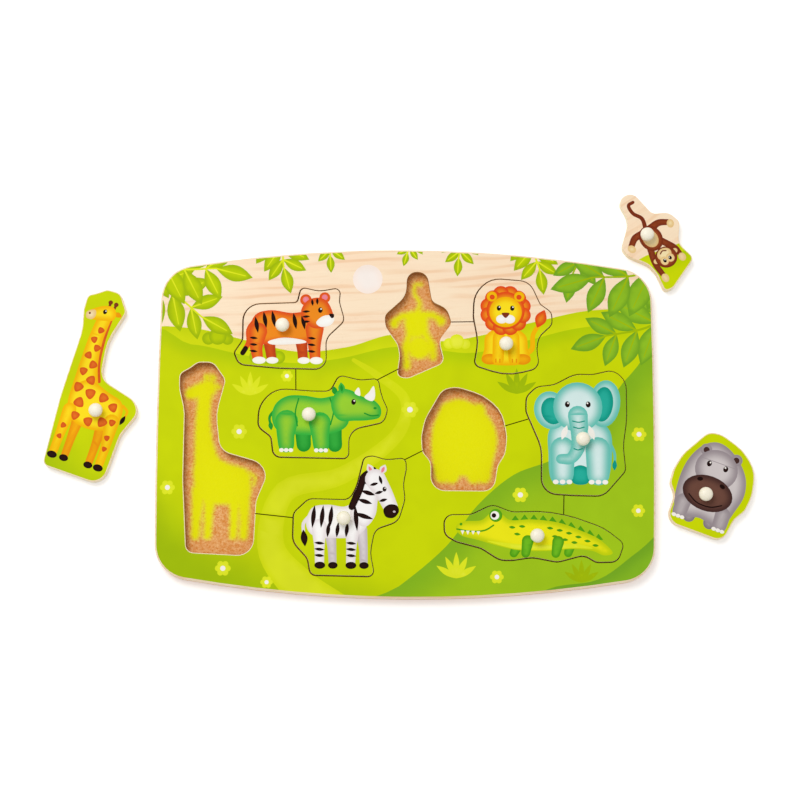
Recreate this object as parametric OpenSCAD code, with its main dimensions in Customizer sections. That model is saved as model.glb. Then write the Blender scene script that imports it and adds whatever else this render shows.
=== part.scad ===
// Wooden peg puzzle: a printed board sawn into nine lift-out animal pieces, each with a turned peg.
// Millimetres. Board lies flat, its underside on z = 0, its middle on the z axis, long way along x.
// Six pieces sit in their pockets; the giraffe, the monkey and the hippo lie beside the board.

/* [Board] */
// Length of the board along x
board_w = 300; // [285:1:330]
// Depth of the board along y, over both bows
board_h = 212.5; // [204:0.5:236]
// How far the long edges bow outwards
long_bow = 14; // [10:0.5:17]
// How far the short edges bow outwards
short_bow = 1.3; // [0.8:0.1:2.5]
// Corner radius of the board
corner_r = 21; // [16:0.5:26]
// Thickness of the sawn wooden sheet: the frame and all the pieces
sheet_t = 6; // [5:0.5:8]
// Thickness of the fibreboard backing
back_t = 3; // [2:0.5:4]
// Sanded rounding of the board's outer edges
board_ease = 1; // [0.4:0.1:1.6]
// Sanded rounding of the pocket rims
rim_ease = 0.2; // [0.1:0.1:1]
// Wood between the board's left edge and the nearest saw line
left_margin = 13.8; // [12:0.1:20]
// Wood between the board's right edge and the nearest saw line
right_margin = 17.1; // [12:0.1:22]
// Wood between the middle of the back edge and the nearest saw line
back_margin = 14.1; // [12:0.1:20]
// Wood between the middle of the front edge and the nearest saw line
front_margin = 12.7; // [11:0.1:20]

/* [Sawing] */
// Width of the saw cut between a piece and its pocket
saw_kerf = 0.6; // [0.4:0.05:1.2]
// Sanded rounding of a piece's top edge
piece_ease = 0.3; // [0.2:0.1:1.2]
// Sanded rounding of a piece's lower edge
foot_ease = 0.3; // [0.2:0.1:0.8]
// How far the seated pieces lie to the right and back, as part of the kerf
drift = 0.15; // [0:0.05:0.25]

/* [Pegs] */
// Diameter of a peg's head
peg_d = 8.4; // [7.5:0.1:9.5]
// Diameter of a peg's waist
waist_d = 5.6; // [5.2:0.1:6.4]
// Height of a peg above its piece
peg_h = 8; // [7:0.5:11]
// Diameter of the spigot that is glued into the piece
spigot_d = 5; // [4:0.1:5.4]
// Depth of the blind bore for the spigot
bore_depth = 4; // [3:0.25:4.2]
// Room for glue round the spigot, on the radius
glue_gap = 0.05; // [0.02:0.01:0.1]

/* [Hidden] */
// Largest turn between two points of a saw line's corner, in degrees
arc_step = 14;
// Turn between two points of the board's corner, in degrees
board_step = 9;
// Steps of half a short edge and of half a long edge
short_steps = 2;
long_steps = 6;
// Largest share of an edge that the rounding of one corner may take
corner_share = 0.48;
// Share of a sanded rounding at which its flat breaks in two
ease_break = 0.3;
// Overlap of a cutting body past the face that it cuts
over = 1;
// Sides of the pegs and their bores
round_sides = 48;
// Dome of the peg's head, from its widest ring to the top, and how full its curve is
dome_h = 3;
dome_fullness = 0.8;
// Peg's foot, where it stands on the piece: height, straight rim and how far it stands out from the waist
foot_h = 1.2;
foot_rim = 0.4;
foot_out = 0.4;
// Straight neck of the peg above its foot, and the steps of its swell from there to the head
neck_h = 1;
swell_steps = 6;
// Bevel at the spigot's end, and the room for glue below it
spigot_bevel = 0.4;
glue_room = 0.3;

// Saw lines: corners [x, y, radius], anticlockwise, seen from above.
// They stretch with the board, so that its margins stay.
tiger_line = [
    [-101, 34.9, 6], [-77, 32.8, 70], [-48.2, 32.2, 7], [-48.8, 51.4, 9], [-37.6, 62.2, 5],
    [-41, 74, 9], [-40.2, 82.7, 3.1], [-53, 80.4, 14], [-64.2, 82.8, 3], [-66.4, 73.3, 2.6],
    [-99, 72, 10.5], [-98.9, 50, 6], [-104, 42.3, 3]];
monkey_line = [
    [-5.1, 28.8, 2.8], [0.8, 27.9, 7], [22, 37.5, 4], [18.7, 50.5, 8], [26.7, 61.2, 5], [23.9, 70, 8],
    [14.8, 74.2, 5], [11.6, 92.5, 6], [0.4, 92.5, 5.5], [-0.2, 77.7, 12], [-13.1, 65.8, 5], [-12.5, 59, 8],
    [-4.7, 48.2, 10], [-3.5, 41, 14]];
lion_line = [
    [40.3, 35.4, 4], [60.5, 28.9, 32], [80, 34.1, 6], [78, 46, 17], [79.8, 53.4, 9], [87.6, 60.8, 5],
    [87.2, 68.4, 5], [80.4, 73.2, 5], [74, 87.4, 10], [50.3, 89.2, 14.4], [40.5, 79.3, 16], [40, 65, 10],
    [42.9, 50, 25]];
rhino_line = [
    [-79.3, -21.2, 5], [-34.2, -21.9, 3.5], [-34.3, -4.6, 9], [-13.4, 0.2, 6], [-11.2, 8, 5],
    [-15.1, 16.5, 20], [-17.1, 26.9, 3], [-28, 25.9, 14], [-40.6, 28.9, 4], [-45.8, 19, 5],
    [-56, 19, 40], [-78.6, 20.5, 14.5], [-88.5, 10.4, 16], [-88.8, -3, 6], [-80.8, -9, 5]];
giraffe_line = [
    [-129.5, -78.1, 4.5], [-90.9, -79.9, 9], [-89.7, -47.5, 14], [-83.4, -31.8, 8], [-88, -24.6, 10],
    [-111.7, -17.9, 10], [-114.5, 5, 30], [-109.3, 25.4, 5], [-116.6, 35.8, 6], [-125.3, 35.7, 5],
    [-130, 32.1, 9], [-135.7, 28.9, 4], [-135.5, 20, 10], [-132.3, 7, 20], [-132.3, -35, 60]];
hippo_line = [
    [15.4, -40, 8], [51.8, -40.1, 7], [54, -25.2, 9], [58.4, -18.2, 9], [59.7, -8, 24], [56.6, 7.7, 19],
    [45.2, 17, 26], [30, 21.7, 15], [21.9, 20, 8], [11.8, 2.2, 20], [9.7, -8, 16], [10.3, -17.2, 6],
    [15.5, -23.2, 8]];
elephant_line = [
    [80.6, -42, 9.5], [100, -43.1, 40], [117.6, -43.4, 10], [131, -28, 5], [129.6, -13, 20],
    [131.9, 3, 40], [131.8, 26, 11], [124.5, 33.3, 8.8], [111.5, 30.2, 14], [101, 30.5, 15],
    [88.5, 23.8, 14], [78, 22.6, 8], [71.7, 16.4, 7], [71.5, 7.5, 8], [80.8, -14.5, 22]];
zebra_line = [
    [-56.2, -91.7, 4], [-18, -92.3, 3.5], [-20.9, -78, 18], [-18.3, -64.3, 7], [-4.4, -59.4, 8],
    [-0.4, -46, 12], [-1.6, -37, 18], [0.2, -28, 8], [-0.2, -21.2, 3], [-12, -22.3, 10],
    [-20, -20, 6], [-25.2, -21, 3.8], [-29.3, -38.6, 24], [-33.6, -46.5, 6], [-57.8, -46, 7],
    [-66.8, -54.6, 6], [-67, -72, 10], [-58, -81.8, 8]];
crocodile_line = [
    [23, -67.2, 6], [30, -71.2, 10], [44.8, -75, 12], [56, -82.2, 12], [64, -82, 12],
    [75, -80.2, 18], [90, -83, 9], [105.6, -78.7, 8], [113, -83, 6], [125.6, -82.6, 6],
    [129.6, -71.6, 4.5], [117.5, -62.2, 30], [98, -55.4, 40], [82, -52.6, 40], [63, -53.2, 12],
    [51.5, -48.7, 8], [39, -54.8, 10], [22.6, -55.1, 5.5]];
saw_lines = [tiger_line, monkey_line, lion_line, rhino_line, giraffe_line, hippo_line, elephant_line,
    zebra_line, crocodile_line];

// Straight saw cuts that led the blade from one pocket to the next: [x, y] to [x, y]
lead_cuts = [
    [[-66.6, 33.6], [-66.3, 19.2]], [[-19, 25.4], [-4.4, 33.2]], [[26, 62], [41, 62.3]],
    [[-90.4, -55], [-66, -57.5]], [[-2.2, -22.9], [10.8, -16.2]], [[58.8, -1.4], [74.4, 3.4]],
    [[94.1, -41.6], [93.8, -55.6]]];

// Where the pegs stand while a piece sits in its pocket
tiger_peg_at = [-75, 58.4];
monkey_peg_at = [4, 64];
lion_peg_at = [59.5, 47.9];
rhino_peg_at = [-58.3, 4];
giraffe_peg_at = [-108, -37.8];
hippo_peg_at = [32.5, -17];
elephant_peg_at = [105.1, -9.7];
zebra_peg_at = [-36.8, -58.2];
crocodile_peg_at = [77.7, -67.8];

// Where the loose pieces lie on the table: how far their pegs are from the middle of the board's left
// edge, from its right and back limits, and from the middle of its right edge, and the pieces' turns
giraffe_off = [-36.6, 5.5];
monkey_off = [-3.4, 10.4];
hippo_off = [29.5, -42.8];
giraffe_turn = -16.3;
monkey_turn = 31.5;
hippo_turn = -20;
giraffe_lies = [-board_w / 2, 0] + giraffe_off;
monkey_lies = [board_w / 2, board_h / 2] + monkey_off;
hippo_lies = [board_w / 2, 0] + hippo_off;

// Reach of the saw lines as drawn, and the place of a drawn point on this board, between its margins
drawn_x = [for (line = saw_lines) for (p = line) p[0]];
drawn_y = [for (line = saw_lines) for (p = line) p[1]];
stretch_x = (board_w - left_margin - right_margin) / (max(drawn_x) - min(drawn_x));
stretch_y = (board_h - back_margin - front_margin) / (max(drawn_y) - min(drawn_y));
left_limit = left_margin - board_w / 2;
front_limit = front_margin - board_h / 2;
function stretched(p) =
    [left_limit + (p[0] - min(drawn_x)) * stretch_x, front_limit + (p[1] - min(drawn_y)) * stretch_y];

// Outline helpers
function unit(v) = v / norm(v);
function turned(p, c, a) =
    let (d = p - c)
    c + [cos(a) * d[0] - sin(a) * d[1], sin(a) * d[0] + cos(a) * d[1]];
function fillet(a, b, c, r) =
    let (u = unit(b - a),
        v = unit(c - b),
        bend = atan2(u[0] * v[1] - u[1] * v[0], u * v),
        side = bend < 0 ? -1 : 1,
        half = tan(abs(bend) / 2),
        run = min(r * half, corner_share * norm(b - a), corner_share * norm(c - b)),
        start = b - u * run,
        centre = start + side * run / half * [-u[1], u[0]],
        n = max(1, ceil(abs(bend) / arc_step)))
    [for (i = [0:n]) turned(start, centre, bend * i / n)];
function rounded(line) =
    let (n = len(line),
        at = [for (p = line) stretched(p)])
    [for (i = [0:n - 1])
        each fillet(at[(i + n - 1) % n], at[i], at[(i + 1) % n], line[i][2])];
// Moves every edge of an anticlockwise outline outwards by d
function moved(pts, d) =
    let (n = len(pts))
    [for (i = [0:n - 1])
        let (u = unit(pts[i] - pts[(i + n - 1) % n]),
            v = unit(pts[(i + 1) % n] - pts[i]),
            m = [u[1], -u[0]],
            k = [v[1], -v[0]])
        pts[i] + d * (m + k) / (1 + m * k)];

// Board outline: two long arcs, two short arcs and four corner arcs that are tangent to both
long_r = (board_w * board_w / 4 + long_bow * long_bow) / (2 * long_bow);
chord = board_h / 2 - long_bow;
short_r = (chord * chord + short_bow * short_bow) / (2 * short_bow);
long_c = [0, board_h / 2 - long_r];
short_c = [board_w / 2 - short_r, 0];
// Crossing of two circles, the one to the left of the way from a to b
function crossing(a, ra, b, rb) =
    let (d = norm(b - a),
        u = (b - a) / d,
        along = (ra * ra - rb * rb + d * d) / (2 * d),
        up = sqrt(ra * ra - along * along))
    a + along * u + up * [-u[1], u[0]];
corner_c = crossing(short_c, short_r - corner_r, long_c, long_r - corner_r);
side_turn = atan2((corner_c - short_c)[1], (corner_c - short_c)[0]);
top_turn = atan2((corner_c - long_c)[1], (corner_c - long_c)[0]);
function arc(c, r, from, to, n) =
    [for (i = [0:n - 1])
        let (a = from + (to - from) * i / n)
        c + r * [cos(a), sin(a)]];
corner_steps = ceil((top_turn - side_turn) / board_step);
quarter = concat(
    arc(short_c, short_r, 0, side_turn, short_steps),
    arc(corner_c, corner_r, side_turn, top_turn, corner_steps),
    arc(long_c, long_r, top_turn, 90, long_steps));
function mirror_x(p) = [-p[0], p[1]];
function back_to_front(pts) = [for (i = [len(pts) - 1:-1:1]) pts[i]];
apex = [[0, board_h / 2]];
upper_half = concat(quarter, apex, [for (p = back_to_front(quarter)) mirror_x(p)]);
board_line = concat(upper_half, [for (p = upper_half) -p]);

// Triangles of an anticlockwise outline: ears, which no other corner lies in, are clipped off one by one
function bend_of(a, b, c) = (b[0] - a[0]) * (c[1] - b[1]) - (b[1] - a[1]) * (c[0] - b[0]);
function covers(a, b, c, p) = bend_of(a, b, p) >= 0 && bend_of(b, c, p) >= 0 && bend_of(c, a, p) >= 0;
function is_ear(pts, ring, k) =
    let (n = len(ring),
        a = pts[ring[(k + n - 1) % n]],
        b = pts[ring[k]],
        c = pts[ring[(k + 1) % n]])
    bend_of(a, b, c) > 0 && len([for (i = [2:1:n - 2]) if (covers(a, b, c, pts[ring[(k + i) % n]])) i]) == 0;
function first_ear(pts, ring, k = 0) =
    k == len(ring) - 1 || is_ear(pts, ring, k) ? k : first_ear(pts, ring, k + 1);
function ears(pts, ring, done = []) =
    let (n = len(ring))
    n < 3 ? done :
    let (k = first_ear(pts, ring),
        ear = [ring[(k + n - 1) % n], ring[k], ring[(k + 1) % n]])
    ears(pts, [for (i = [1:n - 1]) ring[(k + i) % n]], concat(done, [ear]));

// Solid through a list of rings [outline, z] with equal point counts
module skin(rings) {
    n = len(rings[0][0]);
    top = len(rings) - 1;
    ring = [for (i = [0:n - 1]) i];
    points = [for (r = rings) for (p = r[0]) [p[0], p[1], r[1]]];
    walls = [for (k = [0:top - 1]) for (i = ring)
        [k * n + i, (k + 1) * n + i, (k + 1) * n + (i + 1) % n, k * n + (i + 1) % n]];
    floor_faces = ears(rings[0][0], ring);
    roof_faces = [for (ear = ears(rings[top][0], ring)) [for (i = [2:-1:0]) top * n + ear[i]]];
    polyhedron(points = points, faces = concat(floor_faces, walls, roof_faces));
}

// Sheet pieces
module piece_blank(line) {
    edge = moved(rounded(line), -saw_kerf / 2);
    step = ease_break * piece_ease;
    skin([[moved(edge, -foot_ease), 0], [edge, foot_ease], [edge, sheet_t - piece_ease],
        [moved(edge, -step), sheet_t - step], [moved(edge, -piece_ease), sheet_t]]);
}

module piece(line, peg_at) {
    difference() {
        piece_blank(line);
        translate([stretched(peg_at)[0], stretched(peg_at)[1], sheet_t - bore_depth])
            cylinder(d = spigot_d + 2 * glue_gap, h = bore_depth + over, $fn = round_sides);
    }
}

module pocket(line) {
    edge = moved(rounded(line), saw_kerf / 2);
    skin([[edge, back_t - over], [edge, back_t + sheet_t - rim_ease],
        [moved(edge, rim_ease + over), back_t + sheet_t + over]]);
}

module lead_cut(ends) {
    a = stretched(ends[0]);
    b = stretched(ends[1]);
    translate([a[0], a[1], back_t - over])
        rotate([0, 0, atan2((b - a)[1], (b - a)[0])])
            translate([0, -saw_kerf / 2, 0])
                cube([norm(b - a), saw_kerf, sheet_t + 2 * over]);
}

// Turned peg, standing on z = 0 with its spigot below
module peg() {
    head = peg_h - dome_h;
    neck = foot_h + neck_h;
    end = glue_room - bore_depth;
    waist_r = waist_d / 2;
    head_r = peg_d / 2;
    spigot_r = spigot_d / 2;
    foot_r = waist_r + foot_out;
    rotate_extrude($fn = round_sides)
        polygon(concat(
            [[0, end], [spigot_r - spigot_bevel, end], [spigot_r, end + spigot_bevel], [spigot_r, 0]],
            [[foot_r, 0], [foot_r, foot_rim], [waist_r, foot_h]],
            [for (i = [0:swell_steps])
                let (share = i / swell_steps)
                [waist_r + (head_r - waist_r) * (1 - cos(180 * share)) / 2, neck + (head - neck) * share]],
            [for (a = [10:10:80]) [head_r * pow(cos(a), dome_fullness), head + dome_h * sin(a)]],
            [[0, peg_h]]));
}

// Places of the pieces
module seated() {
    translate([drift, drift, back_t])
        children();
}

module lying(peg_at, lies, turn) {
    seat = stretched(peg_at);
    translate([lies[0], lies[1], 0])
        rotate([0, 0, turn])
            translate([-seat[0], -seat[1], 0])
                children();
}

module peg_on(peg_at) {
    translate([stretched(peg_at)[0], stretched(peg_at)[1], sheet_t])
        peg();
}

module backing_panel() {
    color("BurlyWood")
        skin([[moved(board_line, -board_ease / 2), 0], [board_line, board_ease / 2], [board_line, back_t]]);
}

module top_frame() {
    face = back_t + sheet_t;
    step = ease_break * board_ease;
    color("YellowGreen")
        difference() {
            skin([[board_line, back_t], [board_line, face - board_ease],
                [moved(board_line, -step), face - step], [moved(board_line, -board_ease), face]]);
            for (line = saw_lines)
                pocket(line);
            for (ends = lead_cuts)
                lead_cut(ends);
        }
}

module tiger_piece() {
    color("DarkOrange")
        seated()
            piece(tiger_line, tiger_peg_at);
}

module monkey_piece() {
    color("SaddleBrown")
        lying(monkey_peg_at, monkey_lies, monkey_turn)
            piece(monkey_line, monkey_peg_at);
}

module lion_piece() {
    color("Orange")
        seated()
            piece(lion_line, lion_peg_at);
}

module rhino_piece() {
    color("LimeGreen")
        seated()
            piece(rhino_line, rhino_peg_at);
}

module giraffe_piece() {
    color("Gold")
        lying(giraffe_peg_at, giraffe_lies, giraffe_turn)
            piece(giraffe_line, giraffe_peg_at);
}

module hippo_piece() {
    color("Silver")
        lying(hippo_peg_at, hippo_lies, hippo_turn)
            piece(hippo_line, hippo_peg_at);
}

module elephant_piece() {
    color("MediumTurquoise")
        seated()
            piece(elephant_line, elephant_peg_at);
}

module zebra_piece() {
    color("WhiteSmoke")
        seated()
            piece(zebra_line, zebra_peg_at);
}

module crocodile_piece() {
    color("Yellow")
        seated()
            piece(crocodile_line, crocodile_peg_at);
}

module tiger_peg() {
    color("Cornsilk")
        seated()
            peg_on(tiger_peg_at);
}

module monkey_peg() {
    color("Cornsilk")
        lying(monkey_peg_at, monkey_lies, monkey_turn)
            peg_on(monkey_peg_at);
}

module lion_peg() {
    color("Cornsilk")
        seated()
            peg_on(lion_peg_at);
}

module rhino_peg() {
    color("Cornsilk")
        seated()
            peg_on(rhino_peg_at);
}

module giraffe_peg() {
    color("Cornsilk")
        lying(giraffe_peg_at, giraffe_lies, giraffe_turn)
            peg_on(giraffe_peg_at);
}

module hippo_peg() {
    color("Cornsilk")
        lying(hippo_peg_at, hippo_lies, hippo_turn)
            peg_on(hippo_peg_at);
}

module elephant_peg() {
    color("Cornsilk")
        seated()
            peg_on(elephant_peg_at);
}

module zebra_peg() {
    color("Cornsilk")
        seated()
            peg_on(zebra_peg_at);
}

module crocodile_peg() {
    color("Cornsilk")
        seated()
            peg_on(crocodile_peg_at);
}

backing_panel();
top_frame();
tiger_piece();
monkey_piece();
lion_piece();
rhino_piece();
giraffe_piece();
hippo_piece();
elephant_piece();
zebra_piece();
crocodile_piece();
tiger_peg();
monkey_peg();
lion_peg();
rhino_peg();
giraffe_peg();
hippo_peg();
elephant_peg();
zebra_peg();
crocodile_peg();
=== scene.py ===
import math

import bpy
import numpy as np
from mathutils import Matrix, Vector
from mathutils.geometry import delaunay_2d_cdt


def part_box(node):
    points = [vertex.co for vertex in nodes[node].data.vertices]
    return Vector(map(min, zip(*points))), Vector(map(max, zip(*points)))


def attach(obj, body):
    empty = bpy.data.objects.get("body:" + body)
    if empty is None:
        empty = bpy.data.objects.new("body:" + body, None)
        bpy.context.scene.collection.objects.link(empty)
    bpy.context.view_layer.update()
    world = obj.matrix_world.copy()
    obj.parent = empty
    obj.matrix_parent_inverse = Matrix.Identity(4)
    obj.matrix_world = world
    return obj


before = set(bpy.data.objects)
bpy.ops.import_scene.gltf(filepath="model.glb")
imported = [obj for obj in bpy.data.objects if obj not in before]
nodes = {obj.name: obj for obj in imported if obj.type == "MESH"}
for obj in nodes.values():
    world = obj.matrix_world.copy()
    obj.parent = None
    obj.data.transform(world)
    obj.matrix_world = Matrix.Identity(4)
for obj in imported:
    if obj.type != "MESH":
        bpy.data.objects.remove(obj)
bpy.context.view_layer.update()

# Sizes. Everything drawn is in millimetres, on the board seen from above, until it becomes a mesh.
MM = 0.001
INK_RISE = 0.04        # how far the ink stands on the wood
INK_BITE = 0.01        # how far it soaks in
INSET = 0.92           # size of the animals, so that a margin is left inside the saw line
PEG_CLEAR = 3.28       # radius that stays unprinted under a peg
FLAT = 0.002           # how far the flat top face may be out of level
INKED_EASE = 0.25      # how far down an eased edge the ink reaches
BARE_HIGHLIGHT_RIM = 0.5           # bare band round the loose pieces and their pockets: worn ink, and painted highlight on the edge
SHEET_BASE = 3.0       # underside of the sawn sheet in the board
PLY = 1.2              # one veneer of the sawn sheet
RING_WAVE = 6 * 20 / (2 * math.pi)    # growth rings 6 mm apart, as the wave texture counts them
POCKET_GAP = 1.7       # a pocket's rim lies less than this outside its piece's top outline
OUTER_BAND = 3         # width of the board's outer edge that keeps the pale edge colour, outside the painted shade
REACH_ALL = 150        # radius round a peg that takes in the whole of its piece
BOARD_PITCH = 7        # spacing of the extra points in the board's print
PIECE_PITCH = 2.2      # the same in a piece's print
FLOOR_PITCH = 1.3      # the same in the print on a pocket's floor
WASH_SOFT = 2.5        # half the soft edge of a print on a pocket's floor
# Inks whose shapes that print shows
WASHED = ("gold", "amber", "grey", "grey_shade", "cocoa", "brown", "skin", "orange", "mane",
          "rhino_green", "mist", "chalk", "lemon")

# Light and camera, in metres
FLOOR_GLOW = 0.3       # light that the camera sees the paper give, so that only shadows are off white
SKY_STRENGTH = 0.57
KEY_PLACE = (-0.6, 0.75, 1.8)
KEY_SIZE = 1.1
KEY_WATTS = 18.4
AZIMUTH = math.radians(0.402)
ELEVATION = math.radians(80)
DISTANCE = 1.3
TARGET = Vector((-0.0036, 0.01484, 0))
LENS = 96.39

# Each piece: where its peg stands in the drawing, and how far the piece is turned where it lies
SEATS = {
    "tiger": (-75, 58.4, 0), "monkey": (4, 64, 31.5), "lion": (59.5, 47.9, 0),
    "rhino": (-58.3, 4, 0), "giraffe": (-108, -37.8, -16.3), "hippo": (32.5, -17, -20),
    "elephant": (105.1, -9.7, 0), "zebra": (-36.8, -58.2, 0), "crocodile": (77.7, -67.8, 0)}
LOOSE = ("giraffe", "monkey", "hippo")
# Moves that keep the animals clear of the saw line where a part comes near it
NUDGES = {"tiger": (-0.4, -0.9), "rhino": (1.3, -0.7), "giraffe": (-0.7, 0), "zebra": (0.9, -0.3),
          "crocodile": (0, -0.8)}

# Inks: the colour of a shape's middle, the colour at its edge, and the width of that soft edge in mm
INKS = {
    "meadow": ("#CCDA00", "#B8D002", 12),
    "far_ridge": ("#D6E00C", "#C9D806", 8),
    "green_hill": ("#A2C81A", "#86B61E", 26),
    "fern_bank": ("#86B822", "#76AA22", 10),
    "near_field": ("#A4C004", "#CBD900", 40),
    "path": ("#DEE622", "#D6E010", 4),
    "lime_leaf": ("#BED200", "#A2BC04", 3),
    "green_leaf": ("#90C024", "#74A822", 3),
    "pale_lime": ("#ECF040", "#E2EA22", 2),
    "peach": ("#FFF4EC", "#FFEEE2", 3),
    "orange": ("#F28E1E", "#E2521C", 5),
    "rust": ("#D9561A", "#BC3F16", 4),
    "white": ("#FFFFFA", "#FBF5EC", 3),
    "black": ("#2A100C", "#1E0A08", 2),
    "gold": ("#FFE21E", "#F8B800", 4.5),
    "amber": ("#F9B40A", "#EE9404", 3.5),
    "mane": ("#F39A1C", "#E64A18", 4.5),
    "rhino_green": ("#9AD232", "#36B440", 6.5),
    "rhino_shade": ("#34AC3C", "#1D972E", 4),
    "mist": ("#DAF0ED", "#68C4B6", 7),
    "teal": ("#27B19D", "#0A9A86", 4),
    "chalk": ("#FFFCFA", "#ECE2E2", 3.5),
    "chalk_shade": ("#E3DADA", "#C9BDC0", 3),
    "rose": ("#F6A8B2", "#EE8193", 2.5),
    "lemon": ("#F1EB16", "#C2D20A", 4.5),
    "reed": ("#70BC20", "#4F9F12", 2.5),
    "brown": ("#A34D24", "#7C3017", 3.5),
    "skin": ("#F9E4B0", "#ECC787", 2.5),
    "spot": ("#E87422", "#D9581A", 2),
    "grey": ("#D2C9C8", "#9B8F93", 7),
    "grey_shade": ("#AA9EA1", "#867B7F", 3.5),
    "cocoa": ("#6E493D", "#462B27", 5.5),
}


# Drawing: each function gives one closed outline
def oval(x, y, rx, ry=None, turn=0):
    ry = rx if ry is None else ry
    t = np.linspace(0, 2 * math.pi, 28, endpoint=False)
    c, s = math.cos(math.radians(turn)), math.sin(math.radians(turn))
    u, v = rx * np.cos(t), ry * np.sin(t)
    return np.stack([x + u * c - v * s, y + u * s + v * c], 1)


def spline(p, closed, steps):
    """Points along a smooth curve through the given ones."""
    if closed:
        a, b, c, d = np.roll(p, 1, 0), p, np.roll(p, -1, 0), np.roll(p, -2, 0)
    else:
        q = np.vstack([2 * p[0] - p[1], p, 2 * p[-1] - p[-2]])
        a, b, c, d = q[:-3], q[1:-2], q[2:-1], q[3:]
    t = (np.arange(steps) / steps)[None, :, None]
    a, b, c, d = (k[:, None] for k in (a, b, c, d))
    cubic = (3 * b - a - 3 * c + d) * t ** 3
    square = (2 * a - 5 * b + 4 * c - d) * t ** 2
    curve = (0.5 * (2 * b + (c - a) * t + square + cubic)).reshape(-1, p.shape[1])
    return curve if closed else np.vstack([curve, p[-1:]])


def blob(*points):
    return spline(np.array(points, float), True, 6)


def limb(points, *widths):
    """A round-ended stroke through the points, as wide there as the widths say."""
    widths = widths * len(points) if len(widths) == 1 else widths
    path = spline(np.column_stack([points, widths]).astype(float), False, 6)
    mid, half = path[:, :2], path[:, 2:] / 2
    along = np.gradient(mid, axis=0)
    along /= np.linalg.norm(along, axis=1)[:, None]
    across = np.column_stack([-along[:, 1], along[:, 0]])
    turn = np.linspace(0, math.pi, 9)[1:-1, None]
    front = mid[-1] + half[-1] * (np.cos(turn) * across[-1] + np.sin(turn) * along[-1])
    back = mid[0] - half[0] * (np.cos(turn) * across[0] + np.sin(turn) * along[0])
    return np.vstack([mid + across * half, front, (mid - across * half)[::-1], back])


def leaf(x0, y0, x1, y1, fat):
    """A leaf with two pointed ends."""
    a, b = np.array([x0, y0], float), np.array([x1, y1], float)
    t = np.linspace(0, 1, 11)
    side = np.array([a[1] - b[1], b[0] - a[0]]) / np.linalg.norm(b - a) * fat / 2
    mid, bulge = a + t[:, None] * (b - a), np.sin(math.pi * t)[:, None] * side
    return np.vstack([mid + bulge, (mid - bulge)[-2:0:-1]])


def patch(x, y, r, turn=0):
    """A six-cornered patch with soft corners, none of its sides alike."""
    angle = np.radians(turn + np.arange(6) * 60)
    reach = r * np.array([1, 0.84, 1.06, 0.88, 1.1, 0.8])
    return blob(*np.column_stack([x + reach * np.cos(angle), y + reach * np.sin(angle)]))


def corners(*points):
    return np.array(points, float)


# Drawing: each of these gives several shapes, as pairs of ink and outline, the lowest first
def spray(ink, rib, x0, y0, x1, y1, pairs, length, bend):
    """A hanging frond: a stem with ribbed leaves in pairs that get smaller towards its tip."""
    a, b = np.array([x0, y0], float), np.array([x1, y1], float)
    run = (b - a) / np.linalg.norm(b - a)
    side = np.array([-run[1], run[0]])
    middle = (a + b) / 2 + side * bend
    stem = spline(np.array([a, middle, b]), False, 8)
    tips = []
    for k in range(pairs):
        share = (k + 0.6) / pairs
        root = stem[int(share * (len(stem) - 1))]
        reach = length * (1 - 0.4 * share)
        tips += [(root, root + reach * (0.66 * run + way * 0.75 * side)) for way in (1, -1)]
    tips.append((b, b + 0.7 * length * run))
    shapes = []
    for root, tip in tips:
        shapes.append((ink, leaf(*root, *tip, 0.44 * np.linalg.norm(tip - root))))
        shapes.append((rib, limb([root, root + 0.8 * (tip - root)], 1.1, 0.5)))
    return shapes + [(rib, limb([a, middle, b], 1.7, 1.4, 1))]


def tuft(ink, x, y, height):
    """Five blades of grass from one root."""
    return [(ink, leaf(x, y, x + height * math.sin(a), y + height * math.cos(a) * r, 0.24 * height))
            for a, r in ((-0.9, 0.8), (0.9, 0.8), (-0.45, 0.95), (0.45, 0.95), (0, 1.05))]


def daisy(x, y, r):
    petals = [("pale_lime", oval(x + 0.62 * r * math.cos(a), y + 0.62 * r * math.sin(a), 0.4 * r))
              for a in np.radians(np.arange(0, 360, 60))]
    return petals + [("white", oval(x, y, 0.34 * r))]


def bush(ink, x, y, size):
    return [(ink, oval(x + dx * size, y + dy * size, r * size))
            for dx, dy, r in ((-0.8, 0.1, 0.55), (0.85, 0.05, 0.5), (0, 0.3, 0.75))]


def eye(x, y, r):
    return [("black", oval(x, y, r, 1.25 * r)), ("white", oval(x + 0.3 * r, y + 0.5 * r, 0.36 * r))]


def both_sides(x, shapes):
    """The shapes and their mirror images about an upright line."""
    return shapes + [(ink, np.column_stack([2 * x - p[:, 0], p[:, 1]])[::-1]) for ink, p in shapes]


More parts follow.
